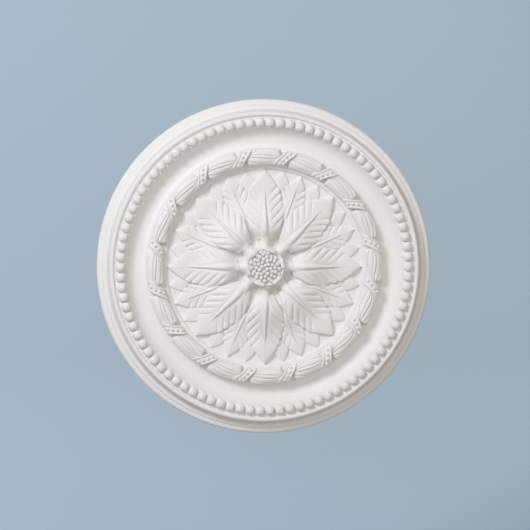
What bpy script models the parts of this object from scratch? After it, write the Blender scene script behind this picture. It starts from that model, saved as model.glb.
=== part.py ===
"""A round ceiling rose moulded in one piece, seen and hung upright: its flat back is the plane
y = 0, its carved face looks towards -Y and its middle is the origin.

From the edge inwards it has an edge band, a fillet, a roll, a ring of beads on a narrow flat,
a wide cove, a wreath of bound strands, and a dished field with three rows of leaves around a
boss. The shapes are laid out flat, with x to the right, y up the face and z out of
the back, and the finished object is then turned upright.
"""

import math

import bmesh
import bpy
from mathutils import Matrix, Vector

# Sizes in metres, angles in degrees

# Boss in the middle
BOSS_BASE_RADIUS = 0.0365
BOSS_RISE = 0.0225
BOSS_BOW = 0.20
CUP_RADIUS = 0.0240
CUP_LIP_WIDTH = 0.0036
GRAIN_DOME_RISE = 0.0032

# Leaves, in three rows on a bed that rises towards the boss
FIELD_FLOOR = 0.0145
BED_RISE = 0.0090
HOLLOW_RISE = 0.0025
LEAF_COUNT = 8
LEAF_LENGTH = 0.0853
LEAF_WIDTH = 0.0480
LEAF_GAP = 0.0010
LEAF_END = 0.0016
LEAF_CROWN_LIFT = 0.0070
LEAF_TIP_LIFT = 0.0050
LEAF_BASE_DROP = 0.0055
LEAF_EDGE_FALL = 0.0024
LEAF_CROWN = 0.16
LEAF_BELLY = 0.36
LEAF_SHOULDER = 0.69
LEAF_BASE_SHARE = 0.62
LEAF_SHOULDER_SHARE = 0.78
LEAF_LOBES = 3
LOBE_DEPTH = 0.035
MIDRIB_WIDTH = 0.0060
MIDRIB_RISE = 0.0018
SWELL_RISE = 0.0016
BACK_LEAF_LENGTH = 0.0620
BACK_LEAF_WIDTH = 0.0340
BACK_LEAF_LIFT = 0.0036
POINT_LENGTH = 0.0300
POINT_WIDTH = 0.0196
POINT_MIDDLE = 0.50
POINT_LIFT = 0.0022

# Bevel and fillet round the field
TIP_LAP = 0.0005
FIELD_BEVEL_WIDTH = 0.0024
FIELD_FILLET_WIDTH = 0.0026
FIELD_FILLET_RISE = 0.0030

# Wreath: pairs of strands bound at even steps. The strands part from a binding at two corners,
# which leaves a small pocket at each.
WREATH_WIDTH = 0.0225
WREATH_LAP = 0.0022
WREATH_SINK = 0.0015
WREATH_RISE = 0.0140
WREATH_PINCH = 0.16
STRAND_GROOVE = 0.0030
STRAND_FOOT = 0.22
STRAND_SHOULDER = 0.96
POCKET_LENGTH = 0.26
POCKET_DEPTH = 0.75
BINDING_COUNT = 16
BINDING_START = 10.3
BINDING_SLANT = 7.4
BINDING_WIDTH = 0.0145
BINDING_LIFT = 0.0012
BINDING_WALL = 0.0003
ARCH_REACH = 0.96
STRAND_ROUND = 0.86

# Cove between the wreath and the beads
COVE_WIDTH = 0.0254
VALLEY_HEIGHT = 0.0135
VALLEY_PLACE = 0.40
COVE_FOOT_RISE = 0.0025
COVE_RISE = 0.0105

# Ring of beads on a flat, which goes on as a narrow strip outside them
BEAD_SIDE_GAP = 0.0005
BEAD_WIDTH = 0.0120
STRIP_WIDTH = 0.0017
BEAD_PITCH = 0.01257
BEAD_GAP = 0.0008
BEAD_RISE = 0.0062
BEAD_TOP = 0.58
BEAD_SINK = 0.3

# Rim mouldings, out to the edge
ROLL_STEP_WIDTH = 0.0008
ROLL_RISE = 0.0030
ROLL_WIDTH = 0.0106
ROLL_FALL = 0.0125
FILLET_WIDTH = 0.0028
FILLET_STEP_WIDTH = 0.0007
FILLET_STEP = 0.0020
BAND_WIDTH = 0.0067
BAND_CROWN = 0.0030

# How finely curves are cut into flats
ROUND_STEPS = 56
COVE_STEPS = 5
ROLL_STEPS = 3
ARCH_STEPS = 6
BEAD_SIDES = 6

# Radii, added up from the middle outwards
LEAF_BASE_RADIUS = BOSS_BASE_RADIUS
TIP_RADIUS = LEAF_BASE_RADIUS + LEAF_LENGTH
CROWN_RADIUS = LEAF_BASE_RADIUS + LEAF_CROWN * LEAF_LENGTH
FLOOR_RADIUS = TIP_RADIUS - TIP_LAP
FIELD_RADIUS = FLOOR_RADIUS + FIELD_BEVEL_WIDTH
WREATH_IN = FIELD_RADIUS + FIELD_FILLET_WIDTH
WREATH_RADIUS = WREATH_IN + WREATH_WIDTH / 2
WREATH_OUT = WREATH_IN + WREATH_WIDTH
COVE_OUT = WREATH_OUT + COVE_WIDTH
BEAD_RADIUS = COVE_OUT + BEAD_SIDE_GAP + BEAD_WIDTH / 2
STRIP_OUT = BEAD_RADIUS + BEAD_WIDTH / 2 + STRIP_WIDTH
ROLL_IN = STRIP_OUT + ROLL_STEP_WIDTH
ROLL_OUT = ROLL_IN + ROLL_WIDTH
FILLET_OUT = ROLL_OUT + FILLET_WIDTH
BAND_IN = FILLET_OUT + FILLET_STEP_WIDTH
RADIUS = BAND_IN + BAND_WIDTH

# Heights above the back
COVE_FOOT = VALLEY_HEIGHT + COVE_FOOT_RISE
BEAD_FLOOR = VALLEY_HEIGHT + COVE_RISE
ROLL_TOP = BEAD_FLOOR + ROLL_RISE
FILLET_TOP = ROLL_TOP - ROLL_FALL
BAND_TOP = FILLET_TOP - FILLET_STEP
EDGE_HEIGHT = BAND_TOP - BAND_CROWN
WREATH_CREST = FIELD_FLOOR + WREATH_RISE
BED_TOP = FIELD_FLOOR + BED_RISE
BOSS_TOP = FIELD_FLOOR + BOSS_RISE
SUNK = 0.6 * min(FIELD_FLOOR, VALLEY_HEIGHT)


def bezier(start, pull_start, pull_end, end, steps):
    """Points of a curve from start to end, leaving out the start itself."""
    points = []
    for step in range(1, steps + 1):
        t = step / steps
        weights = ((1 - t) ** 3, 3 * t * (1 - t) ** 2, 3 * t * t * (1 - t), t ** 3)
        corners = (start, pull_start, pull_end, end)
        points.append(tuple(sum(w * c[axis] for w, c in zip(weights, corners)) for axis in (0, 1)))
    return points


def clock(angle):
    """A turn about the middle of the face, clockwise from the top in degrees."""
    return Matrix.Rotation(-math.radians(angle), 4, "Z")


def loft(mesh, rows, joined_round=False):
    """Closed solid through rows of points. Each row is a loop; the ends are closed unless
    the rows run round and join up."""
    verts = [[mesh.verts.new(point) for point in row] for row in rows]
    pairs = list(zip(verts, verts[1:]))
    if joined_round:
        pairs.append((verts[-1], verts[0]))
    else:
        mesh.faces.new(reversed(verts[0]))
        mesh.faces.new(verts[-1])
    for low, high in pairs:
        for index in range(len(low)):
            after = (index + 1) % len(low)
            mesh.faces.new((low[index], low[after], high[after], high[index]))


def finish_mesh(mesh, name):
    """Object made from a working mesh, its faces cut to triangles and facing out."""
    bmesh.ops.triangulate(mesh, faces=mesh.faces)
    bmesh.ops.recalc_face_normals(mesh, faces=mesh.faces)
    data = bpy.data.meshes.new(name)
    mesh.to_mesh(data)
    mesh.free()
    return bpy.data.objects.new(name, data)


# Turned body

def bed_height(radius):
    """Height of the ground under the leaves, which rises towards the boss."""
    share = (radius - CROWN_RADIUS) / (FLOOR_RADIUS - CROWN_RADIUS)
    return BED_TOP - BED_RISE * min(max(share, 0), 1)


def cove_curve():
    """Hollow of the cove, from the wreath out to the beads."""
    foot = (WREATH_OUT - WREATH_LAP, COVE_FOOT)
    top = (COVE_OUT, BEAD_FLOOR)
    valley = (WREATH_OUT + VALLEY_PLACE * COVE_WIDTH, VALLEY_HEIGHT)
    near = (WREATH_OUT + 0.5 * VALLEY_PLACE * COVE_WIDTH, VALLEY_HEIGHT)
    far = (valley[0] + 0.30 * COVE_WIDTH, VALLEY_HEIGHT)
    steep = (COVE_OUT - 0.12 * COVE_WIDTH, VALLEY_HEIGHT + 0.5 * COVE_RISE)
    return [foot] + bezier(foot, near, near, valley, 2) + bezier(valley, far, steep, top, COVE_STEPS - 2)


def roll_curve():
    """Round of the roll, from the step at its inner side out to the fillet."""
    crest = (ROLL_IN + 0.25 * ROLL_WIDTH, ROLL_TOP)
    shoulder = (ROLL_OUT - 0.35 * ROLL_WIDTH, ROLL_TOP)
    ankle = (ROLL_OUT - 0.45 * ROLL_WIDTH, FILLET_TOP)
    start = (ROLL_IN, ROLL_TOP - 0.2 * ROLL_RISE)
    return [start, crest] + bezier(crest, shoulder, ankle, (ROLL_OUT, FILLET_TOP), ROLL_STEPS)


def body_profile():
    """Half section of the turned body, from the middle of the face out and round to the back."""
    hollow = FIELD_FLOOR + HOLLOW_RISE
    fillet = FIELD_FLOOR + FIELD_FILLET_RISE
    points = [(0, hollow), (0.98 * LEAF_BASE_RADIUS, hollow)]
    points += [(CROWN_RADIUS, BED_TOP), (FLOOR_RADIUS, FIELD_FLOOR)]
    points += [(FIELD_RADIUS, fillet), (WREATH_IN + WREATH_LAP, fillet)]
    points += cove_curve()
    points.append((STRIP_OUT, BEAD_FLOOR))
    points += roll_curve()
    points += [(FILLET_OUT, FILLET_TOP), (BAND_IN, BAND_TOP)]
    points.append((RADIUS - 0.4 * BAND_WIDTH, BAND_TOP - 0.15 * BAND_CROWN))
    points.append((RADIUS, EDGE_HEIGHT))
    points += [(RADIUS, 0), (0, 0)]
    return points


def turned_body():
    """The body as a half section turned about the middle."""
    points = body_profile()
    data = bpy.data.meshes.new("ceiling_rose")
    edges = [(index, index + 1) for index in range(len(points) - 1)]
    data.from_pydata([(radius, 0, height) for radius, height in points], edges, [])
    body = bpy.data.objects.new("ceiling_rose", data)
    screw = body.modifiers.new("Turning", "SCREW")
    screw.axis = "Z"
    screw.steps = ROUND_STEPS
    screw.render_steps = ROUND_STEPS
    screw.use_merge_vertices = True
    screw.merge_threshold = 0.00001
    screw.use_smooth_shade = True
    return body


# Beads

def bead_ring():
    """Ring of beads, each a low round grain sunk into the flat under it."""
    mesh = bmesh.new()
    count = round(2 * math.pi * BEAD_RADIUS / BEAD_PITCH)
    length = 2 * math.pi * BEAD_RADIUS / count - BEAD_GAP
    width = BEAD_WIDTH / math.cos(math.pi / BEAD_SIDES)
    deep = BEAD_SINK * BEAD_RISE
    middle = BEAD_FLOOR + (BEAD_RISE - deep) / 2
    for index in range(count):
        place = clock(360 * (index + 0.5) / count) @ Matrix.Translation((0, BEAD_RADIUS, middle))
        bmesh.ops.create_cone(
            mesh,
            cap_ends=True,
            segments=BEAD_SIDES,
            radius1=1 + BEAD_SINK * (1 - BEAD_TOP),
            radius2=BEAD_TOP,
            depth=BEAD_RISE + deep,
            matrix=place @ Matrix.Diagonal((length / 2, width / 2, 1, 1)),
        )
    return finish_mesh(mesh, "beads")


# Wreath

def bundle_edges(along):
    """Where the pair of strands begins and ends across the wreath, from -1 at its inner side
    to 1 at its outer side. along runs from 0 at one binding to 1 at the next."""
    inner = -1 + POCKET_DEPTH * max(1 - along / POCKET_LENGTH, 0)
    outer = 1 - POCKET_DEPTH * max(1 - (1 - along) / POCKET_LENGTH, 0)
    return inner, outer


def wreath_points(angle, heights_at):
    """One cross section of the wreath at an angle, leaning with the bindings. heights_at gives
    pairs of a place across the wreath, from -1 to 1, and a height."""
    points = []
    for across, height in [(heights_at[0][0], SUNK)] + heights_at + [(heights_at[-1][0], SUNK)]:
        radius = WREATH_RADIUS + across * WREATH_WIDTH / 2
        points.append(clock(angle + across * BINDING_SLANT / 2) @ Vector((0, radius, height)))
    return points


def wreath_base(across):
    """Foot of the wreath at a place across it, a little under the ground that it stands on."""
    inner = FIELD_FLOOR + FIELD_FILLET_RISE - WREATH_SINK
    outer = COVE_FOOT - WREATH_SINK
    return inner + (outer - inner) * (across + 1) / 2


def strand_section(along):
    """Section of a pair of strands, which swell between the bindings, with a groove between
    them."""
    inner, outer = bundle_edges(along)
    swell = 1 - WREATH_PINCH * abs(2 * along - 1) ** 1.5
    section = [
        (0, STRAND_FOOT, 0),
        (0.24, STRAND_SHOULDER, 0),
        (0.5, 1, STRAND_GROOVE),
        (0.76, STRAND_SHOULDER, 0),
        (1, STRAND_FOOT, 0),
    ]
    heights = [(-1, wreath_base(-1))]
    for share, lift, cut in section:
        across = inner + share * (outer - inner)
        across = max(min(across, ARCH_REACH), -ARCH_REACH)
        round_off = math.sqrt(1 - (STRAND_ROUND * across) ** 2)
        base = wreath_base(across)
        heights.append((across, base + (WREATH_CREST - base) * swell * lift * round_off - cut))
    heights.append((1, wreath_base(1)))
    return heights


def binding_section():
    """Section of a binding, which arches over the wreath from side to side."""
    heights = []
    for step in range(ARCH_STEPS + 1):
        across = ARCH_REACH * (2 * step / ARCH_STEPS - 1)
        base = wreath_base(across)
        arch = math.sqrt(1 - across ** 2)
        heights.append((across, base + (WREATH_CREST + BINDING_LIFT - base) * arch))
    return heights


def wreath():
    """Ring of strands with slanting bindings across it, lofted all the way round."""
    mesh = bmesh.new()
    pitch = 360 / BINDING_COUNT
    half = math.degrees(BINDING_WIDTH / 2 / WREATH_RADIUS)
    wall = math.degrees(BINDING_WALL / WREATH_RADIUS)
    rows = []
    for unit in range(BINDING_COUNT):
        middle = BINDING_START + pitch * unit
        rows.append(wreath_points(middle - half, binding_section()))
        rows.append(wreath_points(middle + half, binding_section()))
        for along in (0, POCKET_LENGTH, 1 - POCKET_LENGTH, 1):
            angle = middle + half + wall + along * (pitch - 2 * half - 2 * wall)
            rows.append(wreath_points(angle, strand_section(along)))
    loft(mesh, rows, joined_round=True)
    return finish_mesh(mesh, "wreath")


# Leaves

def leaf_half_width(share, full):
    """Half width of a leaf at a share of its length: a rounded base, a belly, then a shoulder
    from which straight sides run to the tip."""
    if share < LEAF_BELLY:
        swell = math.sin(math.pi / 2 * share / LEAF_BELLY)
        return full / 2 * (LEAF_BASE_SHARE + (1 - LEAF_BASE_SHARE) * swell)
    if share < LEAF_SHOULDER:
        past = (share - LEAF_BELLY) / (LEAF_SHOULDER - LEAF_BELLY)
        return full / 2 * (1 - (1 - LEAF_SHOULDER_SHARE) * past)
    return full / 2 * LEAF_SHOULDER_SHARE * (1 - share) / (1 - LEAF_SHOULDER)


def leaf_shares():
    """Where the cross sections of a leaf lie along it: at its belly, its shoulder and the lobes
    between them."""
    shares = [LEAF_BELLY * step / LEAF_LOBES for step in range(LEAF_LOBES)]
    gap = LEAF_SHOULDER - LEAF_BELLY
    shares += [LEAF_BELLY + gap * step / LEAF_LOBES for step in range(LEAF_LOBES)]
    return shares + [LEAF_SHOULDER, 0.5 * (1 + LEAF_SHOULDER), 1]


def front_leaf_row(share):
    """One cross section of a front leaf, pointing up from the middle."""
    radius = LEAF_BASE_RADIUS + share * LEAF_LENGTH
    lobe = math.cos(math.pi * LEAF_LOBES * share / LEAF_BELLY)
    half = leaf_half_width(share, LEAF_WIDTH) * (1 - LOBE_DEPTH * lobe)
    half = min(half, radius * math.tan(math.pi / LEAF_COUNT) - LEAF_GAP / 2)
    half = max(half, LEAF_END / 2)
    middle = bed_height(radius) + LEAF_CROWN_LIFT + (LEAF_TIP_LIFT - LEAF_CROWN_LIFT) * share
    middle -= LEAF_BASE_DROP * max(1 - share / LEAF_CROWN, 0) ** 2
    carved = min(max((LEAF_SHOULDER + 0.1 - share) / 0.3, 0), 1)
    edge = middle - LEAF_EDGE_FALL * (0.5 + 0.5 * carved)
    keel = MIDRIB_RISE * (0.15 + 0.85 * carved)
    rib = min(MIDRIB_WIDTH / 2 * (1 - 0.8 * share), 0.3 * half)
    swell = middle - 0.3 * (middle - edge) + SWELL_RISE * carved * (0.75 - 0.45 * lobe)
    return [
        Vector((-half, radius, SUNK)),
        Vector((-half, radius, edge)),
        Vector((-0.55 * half, radius, swell)),
        Vector((-rib, radius, middle - 0.4 * keel)),
        Vector((0, radius, middle + keel)),
        Vector((rib, radius, middle - 0.4 * keel)),
        Vector((0.55 * half, radius, swell)),
        Vector((half, radius, edge)),
        Vector((half, radius, SUNK)),
    ]


def back_leaf_row(share):
    """One cross section of a second-row leaf, pointing up from the middle."""
    radius = TIP_RADIUS - BACK_LEAF_LENGTH * (1 - share)
    half = max(leaf_half_width(share, BACK_LEAF_WIDTH), LEAF_END / 2)
    top = bed_height(radius) + BACK_LEAF_LIFT
    keel = MIDRIB_RISE * (0.6 - 0.45 * share)
    edge = top - LEAF_EDGE_FALL * (0.6 - 0.3 * share)
    return [
        Vector((-half, radius, SUNK)),
        Vector((-half, radius, edge)),
        Vector((-0.5 * half, radius, top)),
        Vector((0, radius, top + keel)),
        Vector((0.5 * half, radius, top)),
        Vector((half, radius, edge)),
        Vector((half, radius, SUNK)),
    ]


def point_row(share):
    """One cross section of a plain point of the third row."""
    radius = TIP_RADIUS - POINT_LENGTH * (1 - share)
    narrow = min(share / POINT_MIDDLE, (1 - share) / (1 - POINT_MIDDLE))
    half = max(POINT_WIDTH / 2 * narrow, LEAF_END / 2)
    top = bed_height(radius) + POINT_LIFT
    return [
        Vector((-half, radius, SUNK)),
        Vector((-half, radius, top - 0.25 * POINT_LIFT)),
        Vector((0, radius, top)),
        Vector((half, radius, top - 0.25 * POINT_LIFT)),
        Vector((half, radius, SUNK)),
    ]


def leaf_ring(name, row_at, shares, count, start):
    """A ring of like leaves, each lofted from its cross sections."""
    mesh = bmesh.new()
    rows = [row_at(share) for share in shares]
    for index in range(count):
        turn = clock(start + 360 * index / count)
        loft(mesh, [[turn @ point for point in row] for row in rows])
    return finish_mesh(mesh, name)


# Boss

def boss():
    """Boss on a star-shaped base, with a cup at its top that holds a low dome. Each level has a
    height, a radius and how far the sides of the star bow in there."""
    mesh = bmesh.new()
    cup = CUP_RADIUS - CUP_LIP_WIDTH
    lip = BOSS_TOP - GRAIN_DOME_RISE
    levels = [
        (SUNK, BOSS_BASE_RADIUS, 1.0),
        (FIELD_FLOOR + 0.15 * BOSS_RISE, 0.97 * BOSS_BASE_RADIUS, 1.0),
        (FIELD_FLOOR + 0.55 * BOSS_RISE, 0.50 * (BOSS_BASE_RADIUS + CUP_RADIUS), 0.45),
        (lip - 0.4 * GRAIN_DOME_RISE, CUP_RADIUS, 0.2),
        (lip, CUP_RADIUS - 0.4 * CUP_LIP_WIDTH, 0.1),
        (lip, cup, 0.0),
        (lip + 0.7 * GRAIN_DOME_RISE, 0.66 * cup, 0.0),
        (BOSS_TOP, 0.25 * cup, 0.0),
    ]
    rows = []
    for height, radius, star in levels:
        row = []
        for index in range(2 * LEAF_COUNT):
            inward = 1 - BOSS_BOW * star * (index % 2)
            row.append(clock(index * 180 / LEAF_COUNT) @ Vector((0, radius * inward, height)))
        rows.append(row)
    loft(mesh, rows)
    return finish_mesh(mesh, "boss")


# Material

def plaster_white():
    """Matt warm white, as moulded and primed."""
    material = bpy.data.materials.new("warm_white")
    material.use_nodes = True
    shader = material.node_tree.nodes["Principled BSDF"]
    shader.inputs["Base Color"].default_value = (0.86, 0.855, 0.83, 1)
    shader.inputs["Roughness"].default_value = 0.62
    return material


# The whole

def build():
    for old in list(bpy.data.objects):
        bpy.data.objects.remove(old, do_unlink=True)
    finished = bpy.data.collections.new("ceiling_rose")
    working = bpy.data.collections.new("joined_shapes")
    bpy.context.scene.collection.children.link(finished)
    bpy.context.scene.collection.children.link(working)

    body = turned_body()
    finished.objects.link(body)
    body.data.materials.append(plaster_white())
    half_step = 180 / LEAF_COUNT
    back_shares = (0, LEAF_BELLY, LEAF_SHOULDER, 0.5 * (1 + LEAF_SHOULDER), 1)
    shapes = [
        leaf_ring("points", point_row, (0, POINT_MIDDLE, 1), 2 * LEAF_COUNT, half_step / 2),
        leaf_ring("back_leaves", back_leaf_row, back_shares, LEAF_COUNT, half_step),
        leaf_ring("front_leaves", front_leaf_row, leaf_shares(), LEAF_COUNT, 0),
        boss(),
        wreath(),
        bead_ring(),
    ]
    for shape in shapes:
        working.objects.link(shape)
        shape.hide_render = True
        shape.display_type = "WIRE"
        join = body.modifiers.new("Join " + shape.name, "BOOLEAN")
        join.operation = "UNION"
        join.solver = "EXACT"
        join.object = shape
    for shape in [body] + shapes:
        shape.rotation_euler = (math.radians(90), 0, 0)


build()
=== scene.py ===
import math

import bmesh
import bpy
import numpy as np
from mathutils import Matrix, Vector


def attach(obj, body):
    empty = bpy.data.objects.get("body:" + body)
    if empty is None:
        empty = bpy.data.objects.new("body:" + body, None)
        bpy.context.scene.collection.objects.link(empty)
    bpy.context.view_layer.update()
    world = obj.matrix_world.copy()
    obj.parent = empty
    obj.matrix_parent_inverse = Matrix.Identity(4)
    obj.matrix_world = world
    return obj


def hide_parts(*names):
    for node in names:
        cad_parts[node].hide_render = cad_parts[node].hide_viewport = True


# The fine relief of a moulded ceiling rose, in metres and degrees. It is laid out flat, with x to
# the right, y up the face and z the height above the flat back, and then turned to hang upright.
# Angles run clockwise from the top of the face. Places across the wreath run from -1 at its inner
# side to 1 at its outer side.

# Boss
BOSS_BASE_RADIUS = 0.0365
BOSS_RISE = 0.0225
BOSS_BOW = 0.20
BOSS_SIDES = 128
FLANK_LEVELS = 14
FLANK_CURVE = 1.9
STAR_REACH = 0.0075
STAR_RISE = 0.0093
STAR_POINT = 1.3
STAR_CREST = 0.8
CUP_RADIUS = 0.0240
CUP_LIP_WIDTH = 0.0030
CUP_LIP_DROP = 0.0055
CUP_LIP_EASE = 0.0008
CUP_LIP_LINE = ((0.0003, 0.0003), (0.0009, 0), (0.0016, 0.0001), (0.0023, 0.0007))
CUP_ROOM = 0.0030
DOME_DROP = 0.0055
DOME_EDGE = 0.0010
DOME_RISE = 0.0036
DOME_RINGS = (0.85, 0.65, 0.45, 0.25, 0.08)
PEARL_COUNT = 50
PEARL_RADIUS = 0.0028
PEARL_INSET = 0.0014
PEARL_TURN = 137.508
SEPAL_COUNT = 6
SEPAL_START = 18.0
SEPAL_WIDTH = 0.0120
SEPAL_DEPTH = 0.0048
SEPAL_RISE = 0.0040
SEPAL_FOOT = 0.004
SEPAL_ACROSS = (-1, -0.94, -0.85, -0.5, 0, 0.5, 0.85, 0.94, 1)

# Leaves and the bed they lie on
FIELD_FLOOR = 0.0145
BED_RISE = 0.0090
HOLLOW_RISE = 0.0025
LEAF_COUNT = 8
LEAF_LENGTH = 0.0853
LEAF_WIDTH = 0.0480
LEAF_GAP = 0.0013
LEAF_END = 0.0004
LEAF_CROWN_LIFT = 0.0070
LEAF_TIP_LIFT = 0.0050
LEAF_BASE_DROP = 0.0055
LEAF_SIDE_FALL = 0.0046
LEAF_TIP_FALL = 0.0014
LEAF_BASE_BULGE = 0.0018
LEAF_BASE_ROUND = 0.0056
LEAF_BASE_REACH = 0.0045
SIDE_ROUND = 0.0022
TIP_ROUND = 0.0012
LEAF_CROWN = 0.16
LEAF_FULL_RADIUS = 0.057
LEAF_FULL_RISE = 0.0026
LEAF_LOW_RADIUS = 0.090
LEAF_LOW_DROP = 0.0028
LEAF_WAVE = 0.0145
LEAF_BASE_WIDE = 0.62
LEAF_BELLY = 0.36
LEAF_SHOULDER = 0.69
LEAF_SHOULDER_FALL = 0.22
LOBE_DEPTH = 0.0011
MIDRIB_WIDTH = 0.0090
MIDRIB_END = 0.054
MIDRIB_RISE = 0.0018
SWELL_RISE = 0.0007
VEIN_FIRST = 0.0020
VEIN_PITCH = 0.0112
VEIN_COUNT = 5
VEIN_SLOPE = 1.05
VEIN_DEPTH = 0.0012
VEIN_WIDTH = 0.14
BACK_LEAF_LENGTH = 0.0620
BACK_LEAF_WIDTH = 0.0340
BACK_LEAF_LIFT = 0.0030
BACK_LEAF_SINK = 0.0060
BACK_LEAF_CROWN = 0.26
BACK_VEIN_FIRST = 0.004
BACK_VEIN_PITCH = 0.0105
BACK_VEIN_COUNT = 4
BACK_MIDRIB_END = 0.042
POINT_LENGTH = 0.0300
POINT_WIDTH = 0.0196
POINT_MIDDLE = 0.50
POINT_LIFT = 0.0022

# How the rows of a leaf are spaced between two veins and out to the tip, as shares, and how its
# columns are spaced on the midrib, in half widths of it, and out to the side, as shares
BETWEEN_VEINS = np.array([0, 0.06, 0.12, 0.19, 0.28, 0.42, 0.58, 0.72, 0.81, 0.88, 0.94])
TO_TIP = np.array([0.2, 0.34, 0.5, 0.66, 0.8, 0.91, 0.97, 1.0])
BASE_ROWS = 9
ON_MIDRIB = np.array([0, 0.35, 0.65, 0.85, 1.0, 1.2, 1.5, 1.9])
TO_SIDE = np.array([0.12, 0.24, 0.36, 0.48, 0.6, 0.71, 0.8, 0.87, 0.925, 0.965, 0.99, 1.0])
POINT_ROWS = (0.0, 0.5, 0.58, 0.68, 0.78, 0.87, 0.94, 0.98, 1.0)
POINT_COLUMNS = np.array([0, 0.4, 0.75, 0.9, 0.97, 1, 1])
EDGE_STEPS = 14

# Bevel and fillet round the field
TIP_LAP = 0.0005
FIELD_BEVEL_WIDTH = 0.0024
FIELD_FILLET_WIDTH = 0.0026
FIELD_FILLET_RISE = 0.0030

# Wreath
WREATH_WIDTH = 0.0225
WREATH_LAP = 0.0022
WREATH_SINK = 0.0015
WREATH_RISE = 0.0140
WREATH_PINCH = 0.16
WREATH_ARCH = 2.5
STRAND_GROOVE = 0.0013
GROOVE_WIDTH = 0.0006
STRAND_CROWN = 0.0005
STRAND_LEAST = 0.04
STRAND_SHOULDER = 0.22
STRAND_ROWS = 23
STRAND_COLUMNS = np.array([0, 0.07, 0.18, 0.38, 0.62, 0.82, 0.93])
STRAND_COUNT = 5
POCKET_LENGTH = 0.21
POCKET_DEPTH = 0.80
LENS_MEET = 0.20
LENS_BEND = 0.09
LENS_LINES = (0.39, 0.64)
BINDING_COUNT = 16
BINDING_START = 10.3
BINDING_SLANT = 7.4
BINDING_WIDTH = 0.0145
BINDING_LIFT = 0.0012
BINDING_LAP = 0.86
BINDING_REACH = 0.95
BINDING_NARROW = 0.20
BINDING_STEPS = 20
BORDER_WIDTH = 0.0034
BORDER_RISE = 0.0016
BORDER_FOOT = 0.0022
BORDER_EASE = 0.0006
TIE_PEARL_RADIUS = 0.0019
TIE_PEARL_LIFT = 0.0008
TIE_PEARL_PLACES = (-0.64, -0.22, 0.20, 0.61)

# Cove, beads and rim
COVE_LIP_WIDTH = 0.0014
COVE_LIP_DROP = 0.0009
COVE_WIDTH = 0.0254
VALLEY_HEIGHT = 0.0135
VALLEY_PLACE = 0.40
COVE_FOOT_RISE = 0.0025
COVE_RISE = 0.0105
BEAD_SIDE_GAP = 0.0005
BEAD_WIDTH = 0.0120
STRIP_WIDTH = 0.0017
BEAD_PITCH = 0.01257
BEAD_GAP = 0.0004
BEAD_RISE = 0.0068
BEAD_SQUARE = 0.74
ROLL_STEP_WIDTH = 0.0008
ROLL_RISE = 0.0030
ROLL_WIDTH = 0.0106
ROLL_FALL = 0.0125
FILLET_WIDTH = 0.0028
FILLET_STEP_WIDTH = 0.0007
FILLET_STEP = 0.0020
BAND_WIDTH = 0.0067
BAND_CROWN = 0.0030
BACK_BEVEL = 0.0006

# Rounding of the inner corners, and how finely the body is turned
FIELD_ROUND = 0.0006
STRIP_ROUND = 0.0004
FINE_ROUND = 0.0003
ROUND_STEPS = 180

# Radii, added up from the middle outwards
TIP_RADIUS = BOSS_BASE_RADIUS + LEAF_LENGTH
CROWN_RADIUS = BOSS_BASE_RADIUS + LEAF_CROWN * LEAF_LENGTH
FLOOR_RADIUS = TIP_RADIUS - TIP_LAP
FIELD_RADIUS = FLOOR_RADIUS + FIELD_BEVEL_WIDTH
WREATH_IN = FIELD_RADIUS + FIELD_FILLET_WIDTH
WREATH_RADIUS = WREATH_IN + WREATH_WIDTH / 2
WREATH_OUT = WREATH_IN + WREATH_WIDTH
COVE_OUT = WREATH_OUT + COVE_WIDTH
BEAD_RADIUS = COVE_OUT + BEAD_SIDE_GAP + BEAD_WIDTH / 2
STRIP_OUT = BEAD_RADIUS + BEAD_WIDTH / 2 + STRIP_WIDTH
ROLL_IN = STRIP_OUT + ROLL_STEP_WIDTH
ROLL_OUT = ROLL_IN + ROLL_WIDTH
FILLET_OUT = ROLL_OUT + FILLET_WIDTH
BAND_IN = FILLET_OUT + FILLET_STEP_WIDTH
RADIUS = BAND_IN + BAND_WIDTH

# Heights above the back
COVE_FOOT = VALLEY_HEIGHT + COVE_FOOT_RISE
BEAD_FLOOR = VALLEY_HEIGHT + COVE_RISE
ROLL_TOP = BEAD_FLOOR + ROLL_RISE
FILLET_TOP = ROLL_TOP - ROLL_FALL
BAND_TOP = FILLET_TOP - FILLET_STEP
EDGE_HEIGHT = BAND_TOP - BAND_CROWN
WREATH_CREST = FIELD_FLOOR + WREATH_RISE
BED_TOP = FIELD_FLOOR + BED_RISE
BOSS_TOP = FIELD_FLOOR + BOSS_RISE
SUNK = 0.6 * min(FIELD_FLOOR, VALLEY_HEIGHT)

# Looks and stage
SHARP_ANGLE = 38
PRIMER_DARK = (0.80, 0.795, 0.780, 1)
PRIMER_LIGHT = (0.84, 0.838, 0.828, 1)
WALL_COLOR = (0.542, 0.684, 0.808, 1)
FLOOR_COLOR = (0.50, 0.48, 0.45, 1)
STAGE_ROUGHNESS = 0.9
STAGE_HALF_WIDTH = 3.5
FLOOR_FRONT = -3.0
FLOOR_HEIGHT = -0.55
WALL_PLACE = 1.05
WALL_BEND = 0.35
WALL_TOP = 2.5
SKY_COLOR = (0.975, 0.88, 0.778, 1)
SKY_STRENGTH = 0.336
CAMERA_TARGET = (0.0010, -0.012, 0.0018)

points_made = []
faces_made = []


def add_grid(grid):
    """A closed solid from rows of points. Each row is a loop that runs the same way round, and
    the first and the last row are closed with a face."""
    grid = np.asarray(grid, float)
    rows, columns = grid.shape[:2]
    start = sum(len(part) for part in points_made)
    points_made.append(grid.reshape(-1, 3))
    number = start + np.arange(rows * columns).reshape(rows, columns)
    after = np.roll(number, -1, axis=1)
    quads = np.stack([number[:-1], after[:-1], after[1:], number[1:]], axis=-1).reshape(-1, 4)
    faces_made.extend(quads.tolist())
    faces_made.append(number[0, ::-1].tolist())
    faces_made.append(number[-1].tolist())


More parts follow.
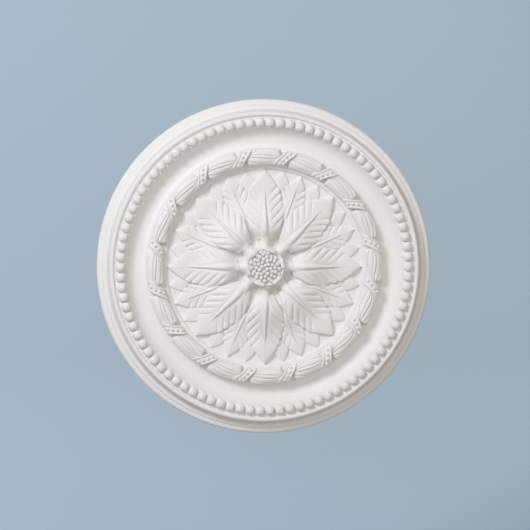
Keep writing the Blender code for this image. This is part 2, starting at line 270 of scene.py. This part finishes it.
def turned(points, angle):
    """Points turned clockwise about the middle of the face."""
    c, s = math.cos(math.radians(angle)), math.sin(math.radians(angle))
    x, y, z = points[..., 0], points[..., 1], points[..., 2]
    return np.stack([x * c + y * s, -x * s + y * c, z], axis=-1)


def bezier(start, pull_start, pull_end, end, steps):
    """Points of a curve from start to end, leaving out the start itself."""
    t = (np.arange(1, steps + 1) / steps)[:, None]
    a, b, c, d = (np.array(p, float) for p in (start, pull_start, pull_end, end))
    left = 1 - t
    return (left ** 3 * a + 3 * t * left ** 2 * b + 3 * t * t * left * c + t ** 3 * d).tolist()


def smooth(low, high, value):
    """Rises smoothly from 0 at low to 1 at high."""
    t = np.clip((value - low) / (high - low), 0, 1)
    return t * t * (3 - 2 * t)


# Turned body

def bed_height(radius):
    """Height of the bed under the leaves, which rises towards the boss."""
    share = (radius - CROWN_RADIUS) / (FLOOR_RADIUS - CROWN_RADIUS)
    return BED_TOP - BED_RISE * np.clip(share, 0, 1)


def leaf_ground(radius):
    """Ground that the leaves follow, steeper over their middle and flatter towards their tips."""
    full = np.exp(-((radius - LEAF_FULL_RADIUS) / LEAF_WAVE) ** 2)
    low = np.exp(-((radius - LEAF_LOW_RADIUS) / LEAF_WAVE) ** 2)
    return bed_height(radius) + LEAF_FULL_RISE * full - LEAF_LOW_DROP * low


def rounded(corners, radius, steps=3):
    """A line of corners with each inner corner cut to a small round."""
    line = [corners[0]]
    for before, corner, after in zip(corners, corners[1:], corners[2:]):
        before, corner, after = (np.array(p, float) for p in (before, corner, after))
        back = min(radius, 0.45 * np.linalg.norm(before - corner))
        ahead = min(radius, 0.45 * np.linalg.norm(after - corner))
        start = corner + (before - corner) / np.linalg.norm(before - corner) * back
        end = corner + (after - corner) / np.linalg.norm(after - corner) * ahead
        line.append(start.tolist())
        line += bezier(start, (start + 2 * corner) / 3, (end + 2 * corner) / 3, end, steps)
    line.append(corners[-1])
    return line


def body_profile():
    """Half section of the body as radius and height, from the middle of the face out and round
    to the back. Places on each moulding are shares of its own width and rise."""
    hollow = FIELD_FLOOR + HOLLOW_RISE
    fillet = FIELD_FLOOR + FIELD_FILLET_RISE
    field = [
        (0, hollow),
        (0.98 * BOSS_BASE_RADIUS, hollow),
        (CROWN_RADIUS, BED_TOP),
        (LEAF_LOW_RADIUS, bed_height(LEAF_LOW_RADIUS) - LEAF_LOW_DROP),
        (FLOOR_RADIUS, FIELD_FLOOR),
        (FIELD_RADIUS, fillet),
        (WREATH_IN + WREATH_LAP, fillet),
        (WREATH_OUT - WREATH_LAP, COVE_FOOT),
    ]
    line = rounded(field, FIELD_ROUND)

    lip = (WREATH_OUT + 0.7 * COVE_LIP_WIDTH, COVE_FOOT)
    foot = (WREATH_OUT + COVE_LIP_WIDTH, COVE_FOOT - COVE_LIP_DROP)
    line += rounded([line[-1], lip, foot], FINE_ROUND, 2)[1:]
    valley = (WREATH_OUT + VALLEY_PLACE * COVE_WIDTH, VALLEY_HEIGHT)
    near = (WREATH_OUT + 0.5 * VALLEY_PLACE * COVE_WIDTH, VALLEY_HEIGHT)
    far = (valley[0] + 0.30 * COVE_WIDTH, VALLEY_HEIGHT)
    steep = (COVE_OUT - 0.12 * COVE_WIDTH, VALLEY_HEIGHT + 0.5 * COVE_RISE)
    line += bezier(foot, near, near, valley, 7)
    line += bezier(valley, far, steep, (COVE_OUT, BEAD_FLOOR), 10)

    roll_start = (ROLL_IN, ROLL_TOP - 0.2 * ROLL_RISE)
    roll_bend = (ROLL_IN + 0.05 * ROLL_WIDTH, ROLL_TOP)
    before_crest = (ROLL_IN + 0.15 * ROLL_WIDTH, ROLL_TOP)
    crest = (ROLL_IN + 0.25 * ROLL_WIDTH, ROLL_TOP)
    shoulder = (ROLL_OUT - 0.35 * ROLL_WIDTH, ROLL_TOP)
    ankle = (ROLL_OUT - 0.45 * ROLL_WIDTH, FILLET_TOP)
    line += rounded([line[-1], (STRIP_OUT, BEAD_FLOOR), roll_start], STRIP_ROUND, 2)[1:]
    line += bezier(roll_start, roll_bend, before_crest, crest, 3)
    line += bezier(crest, shoulder, ankle, (ROLL_OUT, FILLET_TOP), 12)

    band_end = (RADIUS - 0.5 * BAND_WIDTH, BAND_TOP - 0.05 * BAND_CROWN)
    rim = [line[-1], (FILLET_OUT, FILLET_TOP), (BAND_IN, BAND_TOP), band_end]
    line += rounded(rim, FINE_ROUND, 2)[1:]
    line += bezier(line[-1], (RADIUS - 0.3 * BAND_WIDTH, BAND_TOP - 0.1 * BAND_CROWN),
                   (RADIUS - 0.1 * BAND_WIDTH, BAND_TOP - 0.4 * BAND_CROWN),
                   (RADIUS, EDGE_HEIGHT), 6)
    line += [(RADIUS, BACK_BEVEL), (RADIUS - BACK_BEVEL, 0)]
    return np.array(line)


def add_body():
    """The body, turned about the middle, with a flat back."""
    line = body_profile()[1:]
    around = np.radians(np.arange(ROUND_STEPS) * 360 / ROUND_STEPS)
    grid = np.zeros((len(line), ROUND_STEPS, 3))
    grid[..., 0] = line[:, 0:1] * np.cos(around)
    grid[..., 1] = line[:, 0:1] * np.sin(around)
    grid[..., 2] = line[:, 1:2]
    add_grid(grid[::-1])


# Round grains

def add_grain(middle, size, sides, rings, turn, low, square=1.0):
    """A rounded grain at a point of the face, whose foot reaches below that point. A square
    value under 1 makes it fuller at the corners."""
    polar = np.linspace(0.12, math.acos(low), rings + 1)
    around = np.arange(sides) * 2 * math.pi / sides
    wide = np.sin(polar)[:, None] ** square
    c, s = np.cos(around), np.sin(around)
    grid = np.zeros((rings + 1, sides, 3))
    grid[..., 0] = wide * np.sign(c) * np.abs(c) ** square * size[0]
    grid[..., 1] = wide * np.sign(s) * np.abs(s) ** square * size[1]
    grid[..., 2] = np.cos(polar)[:, None] * size[2]
    add_grid(turned(grid, turn) + np.array(middle))


def add_beads():
    """The ring of beads, as many as fit at their pitch."""
    count = round(2 * math.pi * BEAD_RADIUS / BEAD_PITCH)
    length = 2 * math.pi * BEAD_RADIUS / count - BEAD_GAP
    size = (length / 2, (BEAD_WIDTH + BEAD_SIDE_GAP) / 2, BEAD_RISE)
    for index in range(count):
        angle = 360 * (index + 0.5) / count
        place = turned(np.array([0, BEAD_RADIUS - BEAD_SIDE_GAP / 2, BEAD_FLOOR]), angle)
        add_grain(place, size, 14, 6, turn=angle, low=-0.1, square=BEAD_SQUARE)


# Wreath

def wreath_point(angle, across, height):
    """A point of the wreath at a place across it. The angle leans with the bindings."""
    radius = WREATH_RADIUS + across * WREATH_WIDTH / 2
    turn = np.radians(angle + across * BINDING_SLANT / 2)
    return np.stack([radius * np.sin(turn), radius * np.cos(turn), height], axis=-1)


def wreath_base(across):
    """Foot of the wreath at a place across it, a little under the ground that it stands on."""
    inner = FIELD_FLOOR + FIELD_FILLET_RISE - WREATH_SINK
    outer = COVE_FOOT - WREATH_SINK
    return inner + (outer - inner) * (across + 1) / 2


def bundle_edges(along):
    """Inner and outer side of the strands between two bindings. A pocket is left open at the
    inner end of the first binding and the outer end of the next."""
    start = max(1 - along / POCKET_LENGTH, 0) ** 0.75
    end = max(1 - (1 - along) / POCKET_LENGTH, 0) ** 0.75
    return -1 + POCKET_DEPTH * start, 1 - POCKET_DEPTH * end


def lens_side(along):
    """Outer side of the three middle strands: steep beside the first binding, gentle further
    on."""
    bend = math.exp(-along / LENS_BEND)
    return -LENS_MEET + 1 - bend - (1 - 2 * LENS_MEET) * along ** 3


def arch(across):
    """Height of the wreath across it, as a share of its crest."""
    return (1 - np.abs(across) ** WREATH_ARCH) ** (1 / WREATH_ARCH)


def strand_marks(along):
    """Sides of the strands, from the inner side of the wreath to the outer. The middle ones meet
    in a point at either end."""
    inner, outer = bundle_edges(along)
    low = max(-lens_side(1 - along), inner + STRAND_LEAST)
    high = min(lens_side(along), outer - STRAND_LEAST)
    if high - low < 2 * STRAND_LEAST:
        middle = (low + high) / 2
        low = max(middle - STRAND_LEAST, inner + STRAND_LEAST)
        high = min(middle + STRAND_LEAST, outer - STRAND_LEAST)
    return [inner, low] + [low + line * (high - low) for line in LENS_LINES] + [high, outer]


def strand_row(along):
    """Places across the wreath and heights of the strands, at a share of the way between two
    bindings."""
    marks = strand_marks(along)
    inner, outer = marks[0], marks[-1]
    spans = [a + STRAND_COLUMNS * (b - a) for a, b in zip(marks, marks[1:])]
    across = np.concatenate(spans + [[outer]])
    local = np.concatenate([np.tile(STRAND_COLUMNS, STRAND_COUNT), [1]])
    base = wreath_base(across)
    swell = 1 - WREATH_PINCH * abs(2 * along - 1) ** 1.5
    side = np.minimum(across - inner, outer - across) / STRAND_SHOULDER
    full = np.sqrt(np.clip(1 - np.clip(1 - side, 0, 1) ** 2, 0, 1))
    rise = (WREATH_CREST - base) * swell * arch(0.93 * across)
    height = base + rise * (0.12 + 0.88 * full)

    deep = 0.55 + 0.45 * (1 - (2 * along - 1) ** 2)
    round_top = 1 - np.sqrt(1 - 0.96 * (2 * local - 1) ** 2)
    columns = len(STRAND_COLUMNS)
    middle_three = slice(columns, 4 * columns)
    height[middle_three] -= STRAND_CROWN * deep * round_top[middle_three]
    for place in marks[1:-1]:
        away = (across - place) * WREATH_WIDTH / 2
        height -= STRAND_GROOVE * deep * np.exp(-(away / GROOVE_WIDTH) ** 2)
    height[2 * columns + 1:3 * columns] += STRAND_CROWN * deep
    return across, height


def add_strands():
    """Smooth strands between each pair of bindings, marked off by grooves."""
    pitch = 360 / BINDING_COUNT
    half = math.degrees(BINDING_WIDTH / 2 / WREATH_RADIUS)
    alongs = 0.5 - 0.5 * np.cos(np.pi * np.linspace(0, 1, STRAND_ROWS))
    rows = [(along, *strand_row(along)) for along in alongs]
    for unit in range(BINDING_COUNT):
        first = BINDING_START + pitch * unit + BINDING_LAP * half
        grid = []
        for along, across, height in rows:
            angle = first + along * (pitch - 2 * BINDING_LAP * half)
            across = np.concatenate([across[:1], across, across[-1:]])
            height = np.concatenate([[SUNK], height, [SUNK]])
            grid.append(wreath_point(angle, across, height))
        add_grid(grid)


def binding_section():
    """Section of a binding: distances from its middle line, and rises above its top. A rounded
    border with a faint groove runs down each side of it, and the outer walls are sunk."""
    half = BINDING_WIDTH / 2
    turns = np.linspace(0, 1, 8)
    border = -half + BORDER_WIDTH * turns
    ridge = BORDER_RISE * (np.sin(np.pi * turns) ** 0.7)
    ridge = ridge * (1 - 0.18 * np.exp(-((turns - 0.5) / 0.08) ** 2))
    sides = np.concatenate([[-half], border, [-half + BORDER_WIDTH + BORDER_EASE]])
    rises = np.concatenate([[SUNK], ridge, [0]])
    rises[1] = -BORDER_FOOT
    return np.concatenate([sides, -sides[::-1]]), np.concatenate([rises, rises[::-1]])


def binding_top(across):
    """Height of a binding between its borders."""
    base = wreath_base(across)
    return base + (WREATH_CREST + BINDING_LIFT - BORDER_RISE - base) * arch(across)


def add_bindings():
    """Bands that arch over the wreath, each with a row of pearls."""
    sides, rises = binding_section()
    for index in range(BINDING_COUNT):
        middle = BINDING_START + 360 * index / BINDING_COUNT
        rows = []
        for step in range(BINDING_STEPS + 1):
            across = BINDING_REACH * math.sin(math.pi / 2 * (2 * step / BINDING_STEPS - 1))
            end = max(abs(across) - 0.80 * BINDING_REACH, 0) / (0.20 * BINDING_REACH)
            top = binding_top(across) - 0.0030 * (1 - math.sqrt(1 - 0.98 * end ** 2))
            narrow = 1 - BINDING_NARROW * end ** 4
            heights = np.maximum(top + rises * (1 - 0.3 * end), SUNK + 0.001)
            heights = np.where(rises == SUNK, SUNK, heights)
            angles = middle + np.degrees(sides * narrow / WREATH_RADIUS)
            rows.append(wreath_point(angles, np.full(len(sides), across), heights))
        add_grid(rows)
        for across in TIE_PEARL_PLACES:
            place = wreath_point(middle, across, binding_top(across) + TIE_PEARL_LIFT)
            add_grain(place, (TIE_PEARL_RADIUS,) * 3, 10, 5, turn=middle, low=-0.6)


# Leaves

def leaf_half_width(share, full):
    """Half width of a leaf at a share of its length: a rounded base, a belly, then a shoulder
    from which slightly bowed sides run to the tip."""
    if share < LEAF_BELLY:
        swell = math.sin(math.pi / 2 * max(share, 0) / LEAF_BELLY)
        return full / 2 * (LEAF_BASE_WIDE + (1 - LEAF_BASE_WIDE) * swell)
    if share < LEAF_SHOULDER:
        past = (share - LEAF_BELLY) / (LEAF_SHOULDER - LEAF_BELLY)
        return full / 2 * (1 - LEAF_SHOULDER_FALL * past)
    left = min((share - LEAF_SHOULDER) / (1 - LEAF_SHOULDER), 1)
    return full / 2 * (1 - LEAF_SHOULDER_FALL) * (1 - left ** 1.18) ** 0.92


def leaf_rows(length, first, pitch, count):
    """Where the rows of a leaf start on its middle line, close together at each vein."""
    base = first * np.linspace(0, 1, BASE_ROWS)[:-1]
    middle = np.concatenate([first + pitch * (k + BETWEEN_VEINS) for k in range(count - 1)])
    last = first + pitch * (count - 1)
    tip = last + np.concatenate([pitch * BETWEEN_VEINS[:5], TO_TIP * (length - last)])
    return np.concatenate([base, middle, tip])


def row_half_width(along, slope, vein, count, start, length, full, crowned):
    """Half width of the row that leaves the middle line at a place and slopes outwards with the
    veins. It ends on the side of the leaf, which is lobed between the veins."""
    half = leaf_half_width(along / length, full)
    for _ in range(EDGE_STEPS):
        out = along + slope * half
        wide = leaf_half_width(out / length, full)
        if 0 < vein < count - 1.2:
            wide = wide - LOBE_DEPTH * (1 - 2 * abs(math.sin(math.pi * vein)) ** 0.8)
        if crowned:
            wide = min(wide, (start + out) * math.tan(math.pi / LEAF_COUNT) - LEAF_GAP / 2)
        half = 0.5 * half + 0.5 * max(wide, LEAF_END / 2)
    return half


def add_leaf(angle, start, length, full, lifts, falls, rounds, veins, rib, swell, crowned):
    """A leaf whose rows follow its side veins, from the middle line out towards the tip. Lifts,
    falls and rounds are given at its base and at its tip. A crowned leaf springs from the foot
    of the boss; any other comes out from under the crowned ones."""
    first, pitch, count = veins
    rib_width, rib_rise, rib_end = rib
    last = first + pitch * (count - 1)
    rows = []
    for along in leaf_rows(length, first, pitch, count):
        spread = min(along / first, 1)
        slope = VEIN_SLOPE * spread
        vein = (along - first) / pitch
        half = row_half_width(along, slope, vein, count, start, length, full, crowned)
        rib_half = min(rib_width / 2 * max(1 - 0.86 * along / rib_end, 0.12), 0.3 * half)
        beside = ON_MIDRIB[-1] * rib_half
        x = np.concatenate([ON_MIDRIB * rib_half, beside + TO_SIDE * (half - beside)])
        x = np.concatenate([-x[::-1], x[1:]])
        u = np.abs(x) / half
        y = along + slope * np.abs(x)
        if crowned:
            bulge = np.sin(np.pi * np.clip((u - 0.15) / 0.85, 0, 1)) ** 1.5
            y = y - LEAF_BASE_BULGE * (1 - spread) * bulge
            y = y - LEAF_BASE_REACH * (1 - spread) * (1 - smooth(0.20, 0.45, u))
            y = y + LEAF_BASE_ROUND * (1 - spread) * np.clip((u - 0.60) / 0.40, 0, 1) ** 2
        share = y / length
        radius = start + y
        z = leaf_ground(radius) + lifts[0] + (lifts[1] - lifts[0]) * share
        if crowned:
            drop = LEAF_BASE_DROP * (0.55 + 0.45 * smooth(0.20, 0.55, u))
            z = z - drop * np.clip(1 - share / LEAF_CROWN, 0, 1) ** 2
        else:
            z = z - BACK_LEAF_SINK * np.clip(1 - share / BACK_LEAF_CROWN, 0, 1) ** 2

        # Falls away to the sides, where the edge is rounded over
        toward_tip = smooth(0.36, 0.66, share)
        z = z - (falls[0] + (falls[1] - falls[0]) * toward_tip) * u ** 1.6
        edge = rounds[0] + (rounds[1] - rounds[0]) * toward_tip
        over = np.clip(1 - (1 - u) * half / edge, 0, 1)
        z = z - edge * (1 - np.sqrt(1 - 0.97 * over ** 2))

        # Swells between the veins, and sinks at each
        nearest = min(max(round(vein), 0), count - 1)
        away = abs(vein - nearest)
        tear = smooth(0.26, 0.60, u) * (1 - 0.3 * smooth(0.85, 1, u))
        puff = math.sin(math.pi * min(away, 0.5)) ** 1.2 if vein >= 0 else 1 - spread ** 3
        z = z + swell * (0.4 + 0.6 * puff * tear)
        deep = VEIN_DEPTH * (1.15 - 0.45 * along / last)
        z = z - deep * math.exp(-(away / VEIN_WIDTH) ** 2) * tear * spread ** 4

        # Midrib, with a faint groove on each side
        fade = float(1 - smooth(0.85 * rib_end, 1.2 * rib_end, along))
        ridge = rib_rise * fade * float(smooth(-0.003, 0.008, along))
        z = z + ridge * 1.15 * np.sqrt(np.clip(1 - (x / rib_half) ** 2, 0, 1))
        z = z - ridge * 0.5 * np.exp(-((np.abs(x) / rib_half - 1.25) / 0.45) ** 2)

        x = np.concatenate([[-half], x, [half]])
        radius = np.concatenate([[radius[0]], radius, [radius[-1]]])
        z = np.concatenate([[SUNK], z, [SUNK]])
        rows.append(turned(np.stack([x, radius, z], axis=-1), angle))
    add_grid(rows)


def add_point(angle):
    """A plain leaf end with bowed sides and a rounded edge."""
    sides = np.concatenate([-POINT_COLUMNS[:0:-1], POINT_COLUMNS])
    rows = []
    for share in POINT_ROWS:
        radius = TIP_RADIUS - POINT_LENGTH * (1 - share)
        past = abs(share - POINT_MIDDLE) / POINT_MIDDLE
        half = max(POINT_WIDTH / 2 * (1 - past ** 1.25) ** 0.8, LEAF_END / 2)
        over = np.clip(1 - (1 - np.abs(sides)) * half / TIP_ROUND, 0, 1)
        z = float(leaf_ground(radius)) + POINT_LIFT - 0.35 * POINT_LIFT * np.abs(sides)
        z = z - 0.8 * TIP_ROUND * (1 - np.sqrt(1 - 0.97 * over ** 2))
        z[0] = z[-1] = SUNK
        row = np.stack([sides * half, np.full(len(sides), radius), z], axis=-1)
        rows.append(turned(row, angle))
    add_grid(rows)


def add_leaves():
    """Leaves round the boss, a second row of them behind the gaps, and a plain point beside each
    leaf."""
    step = 360 / LEAF_COUNT
    for index in range(LEAF_COUNT):
        add_leaf(step * index, BOSS_BASE_RADIUS, LEAF_LENGTH, LEAF_WIDTH,
                 (LEAF_CROWN_LIFT, LEAF_TIP_LIFT), (LEAF_SIDE_FALL, LEAF_TIP_FALL),
                 (SIDE_ROUND, TIP_ROUND), (VEIN_FIRST, VEIN_PITCH, VEIN_COUNT),
                 (MIDRIB_WIDTH, MIDRIB_RISE, MIDRIB_END), SWELL_RISE, True)
        add_leaf(step * (index + 0.5), TIP_RADIUS - BACK_LEAF_LENGTH, BACK_LEAF_LENGTH,
                 BACK_LEAF_WIDTH, (BACK_LEAF_LIFT, BACK_LEAF_LIFT),
                 (LEAF_TIP_FALL, LEAF_TIP_FALL), (TIP_ROUND, TIP_ROUND),
                 (BACK_VEIN_FIRST, BACK_VEIN_PITCH, BACK_VEIN_COUNT),
                 (0.5 * MIDRIB_WIDTH, 0.7 * MIDRIB_RISE, BACK_MIDRIB_END),
                 0.7 * SWELL_RISE, False)
    for index in range(2 * LEAF_COUNT):
        add_point(step * (index / 2 + 0.25))


# Boss

def add_boss():
    """Boss with a star foot whose corners run out into the midribs, and a ring of flat sepals
    round a dome of pearls."""
    around = np.radians(np.arange(BOSS_SIDES) * 360 / BOSS_SIDES)
    corner = (0.5 + 0.5 * np.cos(around * LEAF_COUNT)) ** STAR_POINT
    bay = BOSS_BASE_RADIUS * (1 - BOSS_BOW)
    foot_radius = bay + (BOSS_BASE_RADIUS + STAR_REACH - bay) * corner
    foot_height = FIELD_FLOOR + HOLLOW_RISE + STAR_RISE * corner ** STAR_CREST
    lip = BOSS_TOP - CUP_LIP_DROP
    cup = CUP_RADIUS - CUP_LIP_WIDTH
    dome = BOSS_TOP - CUP_ROOM - DOME_DROP

    def ring(radius, height):
        height = np.broadcast_to(np.asarray(height, float), (BOSS_SIDES,))
        return np.stack([radius * np.sin(around), radius * np.cos(around), height], axis=-1)

    rows = [ring(foot_radius, SUNK)]
    for level in np.linspace(0, 1, FLANK_LEVELS):
        radius = CUP_RADIUS + (foot_radius - CUP_RADIUS) * (1 - level) ** FLANK_CURVE
        rows.append(ring(radius, foot_height + (lip - CUP_LIP_EASE - foot_height) * level))
    for inset, down in CUP_LIP_LINE:
        rows.append(ring(CUP_RADIUS - inset, lip - down))
    rows.append(ring(cup, dome + DOME_EDGE))
    for share in DOME_RINGS:
        rows.append(ring(cup * share, dome + DOME_RISE * (1 - share ** 2)))
    add_grid(rows)
    for index in range(SEPAL_COUNT):
        add_sepal(SEPAL_START + 360 * index / SEPAL_COUNT, lip)
    add_pearls(cup - PEARL_INSET, dome)


def add_pearls(reach, dome):
    """Pearls packed in a spiral over the dome, slightly uneven in size and place."""
    for index in range(PEARL_COUNT):
        share = math.sqrt((index + 0.5) / PEARL_COUNT)
        size = PEARL_RADIUS * (0.86 + 0.14 * share) * (1 + 0.06 * math.sin(7.3 * index))
        height = dome + DOME_RISE * (1 - share ** 2) + 0.8 * size
        angle = index * PEARL_TURN + 3 * math.sin(3.1 * index)
        place = turned(np.array([0, reach * share, height]), angle)
        add_grain(place, (size, size, size), 12, 6, turn=angle, low=-0.85)


def add_sepal(angle, lip):
    """A short flat plank that stands on the lip and leans in over the pearls."""
    rows = []
    out = CUP_RADIUS + 0.0002
    inner = out - SEPAL_DEPTH
    foot = lip - SEPAL_FOOT
    for across in SEPAL_ACROSS:
        side = across * SEPAL_WIDTH / 2
        top = lip + SEPAL_RISE - 0.0006 * max(abs(across) - 0.85, 0) / 0.15
        section = [(out - 0.0002, foot), (out, top - 0.0012), (out - 0.0007, top),
                   (out - 0.0018, top), (inner + 0.0006, top - 0.0004),
                   (inner, top - 0.0010), (inner, foot)]
        rows.append(turned(np.array([(side, r, h) for r, h in section]), angle))
    add_grid(rows)


# The piece and its looks

def make_piece(name):
    """The whole relief as one mesh, turned to hang upright with its back at y = 0."""
    flat = np.concatenate(points_made)
    upright = np.stack([flat[:, 0], -flat[:, 2], flat[:, 1]], axis=-1)
    mesh = bpy.data.meshes.new(name)
    mesh.from_pydata(upright.tolist(), [], faces_made)
    work = bmesh.new()
    work.from_mesh(mesh)
    bmesh.ops.recalc_face_normals(work, faces=work.faces)
    work.to_mesh(mesh)
    work.free()
    piece = bpy.data.objects.new(name, mesh)
    bpy.context.scene.collection.objects.link(piece)
    return piece


def shade(piece, angle):
    """Smooth shading, kept sharp where two faces meet at more than the angle."""
    mesh = piece.data
    mesh.polygons.foreach_set("use_smooth", [True] * len(mesh.polygons))
    mesh.set_sharp_from_angle(angle=math.radians(angle))


def plain(name, color, roughness):
    """A material of one colour."""
    material = bpy.data.materials.new(name)
    material.use_nodes = True
    shader = material.node_tree.nodes["Principled BSDF"]
    shader.inputs["Base Color"].default_value = color
    shader.inputs["Roughness"].default_value = roughness
    return material


def add_noise(material, scale, detail):
    """A noise texture fixed to the object, as a value from 0 to 1."""
    nodes, links = material.node_tree.nodes, material.node_tree.links
    place = nodes.new("ShaderNodeTexCoord")
    noise = nodes.new("ShaderNodeTexNoise")
    noise.inputs["Scale"].default_value = scale
    noise.inputs["Detail"].default_value = detail
    links.new(place.outputs["Object"], noise.inputs["Vector"])
    return noise.outputs["Fac"]


def primer():
    """Matt warm white primer with a faint grain and slightly uneven tone."""
    material = plain("primer_white", PRIMER_LIGHT, 0.58)
    nodes, links = material.node_tree.nodes, material.node_tree.links
    shader = nodes["Principled BSDF"]
    shader.inputs["Specular IOR Level"].default_value = 0.35
    mix = nodes.new("ShaderNodeMix")
    mix.data_type = "RGBA"
    mix.inputs["A"].default_value = PRIMER_DARK
    mix.inputs["B"].default_value = PRIMER_LIGHT
    links.new(add_noise(material, 9.0, 4.0), mix.inputs["Factor"])
    links.new(mix.outputs["Result"], shader.inputs["Base Color"])
    bump = nodes.new("ShaderNodeBump")
    bump.inputs["Strength"].default_value = 0.12
    bump.inputs["Distance"].default_value = 0.0002
    links.new(add_noise(material, 900.0, 3.0), bump.inputs["Height"])
    links.new(bump.outputs["Normal"], shader.inputs["Normal"])
    return material


# Stage, lights and camera

def show_front_only(material):
    """Lets a view from behind look through the surface."""
    nodes, links = material.node_tree.nodes, material.node_tree.links
    side = nodes.new("ShaderNodeNewGeometry")
    clear = nodes.new("ShaderNodeBsdfTransparent")
    mix = nodes.new("ShaderNodeMixShader")
    links.new(side.outputs["Backfacing"], mix.inputs[0])
    links.new(nodes["Principled BSDF"].outputs[0], mix.inputs[1])
    links.new(clear.outputs[0], mix.inputs[2])
    links.new(mix.outputs[0], nodes["Material Output"].inputs["Surface"])


def add_stage():
    """A plain floor that curves up into a wall behind the rose. Only its flat part has the
    floor's own colour."""
    line = [(FLOOR_FRONT, FLOOR_HEIGHT), (WALL_PLACE - WALL_BEND, FLOOR_HEIGHT)]
    line += bezier(line[-1], (WALL_PLACE - 0.45 * WALL_BEND, FLOOR_HEIGHT),
                   (WALL_PLACE, FLOOR_HEIGHT + 0.55 * WALL_BEND),
                   (WALL_PLACE, FLOOR_HEIGHT + WALL_BEND), 16)
    line.append((WALL_PLACE, WALL_TOP))
    verts = [(side * STAGE_HALF_WIDTH, y, z) for y, z in line for side in (-1, 1)]
    faces = [(2 * i, 2 * i + 1, 2 * i + 3, 2 * i + 2) for i in range(len(line) - 1)]
    mesh = bpy.data.meshes.new("stage_floor")
    mesh.from_pydata(verts, [], faces)
    mesh.polygons.foreach_set("use_smooth", [True] * len(mesh.polygons))
    floor = bpy.data.objects.new("stage_floor", mesh)
    bpy.context.scene.collection.objects.link(floor)
    wall = plain("stage_wall", WALL_COLOR, STAGE_ROUGHNESS)
    show_front_only(wall)
    mesh.materials.append(wall)
    mesh.materials.append(plain("stage_floor", FLOOR_COLOR, STAGE_ROUGHNESS))
    mesh.polygons[0].material_index = 1
    return floor


def add_light(name, place, size, power, color):
    """A round soft lamp that looks at the rose."""
    data = bpy.data.lights.new(name, "AREA")
    data.shape = "DISK"
    data.size = size
    data.energy = power
    data.color = color
    lamp = bpy.data.objects.new(name, data)
    lamp.location = place
    lamp.rotation_euler = (-Vector(place)).to_track_quat("-Z", "Y").to_euler()
    bpy.context.scene.collection.objects.link(lamp)


def add_sky():
    """An even glow from all sides."""
    world = bpy.data.worlds.new("studio")
    world.use_nodes = True
    glow = world.node_tree.nodes["Background"]
    glow.inputs["Color"].default_value = SKY_COLOR
    glow.inputs["Strength"].default_value = SKY_STRENGTH
    bpy.context.scene.world = world


def add_camera(azimuth, elevation, distance, share):
    """Long lens that sees the rose across a share of the square frame."""
    data = bpy.data.cameras.new("camera")
    camera = bpy.data.objects.new("camera", data)
    a, e = math.radians(azimuth), math.radians(elevation)
    away = Vector((math.sin(a) * math.cos(e), -math.cos(a) * math.cos(e), math.sin(e)))
    camera.location = Vector(CAMERA_TARGET) + away * distance
    camera.rotation_euler = (-away).to_track_quat("-Z", "Y").to_euler()
    data.angle = 2 * math.atan(RADIUS / share / distance)
    data.clip_end = 50
    bpy.context.scene.collection.objects.link(camera)
    bpy.context.scene.camera = camera


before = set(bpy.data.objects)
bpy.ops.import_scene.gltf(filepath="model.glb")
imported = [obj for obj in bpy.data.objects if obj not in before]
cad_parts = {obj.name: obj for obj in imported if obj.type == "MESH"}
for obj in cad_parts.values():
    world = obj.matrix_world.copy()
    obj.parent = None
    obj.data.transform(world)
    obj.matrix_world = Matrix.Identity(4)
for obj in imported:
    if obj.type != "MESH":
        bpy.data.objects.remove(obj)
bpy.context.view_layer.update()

add_body()
add_beads()
add_strands()
add_bindings()
add_leaves()
add_boss()
rose = make_piece("rose_casting")
shade(rose, SHARP_ANGLE)
rose.data.materials.append(primer())
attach(rose, "root")
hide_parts("ceiling_rose")

add_stage()
add_light("key", (-1.382, -1.699, 1.382), 0.80, 40.2, (0.872, 0.908, 0.985))
add_light("fill", (1.6, -2.2, 0.2), 2.4, 8.0, (0.993, 0.94, 0.852))
add_light("front", (-0.2, -3.0, 0.6), 2.0, 12.7, (0.99, 0.978, 0.941))
add_sky()
bpy.context.scene.view_settings.view_transform = "Standard"
add_camera(azimuth=-3.6, elevation=2.4, distance=3.2, share=0.6311)
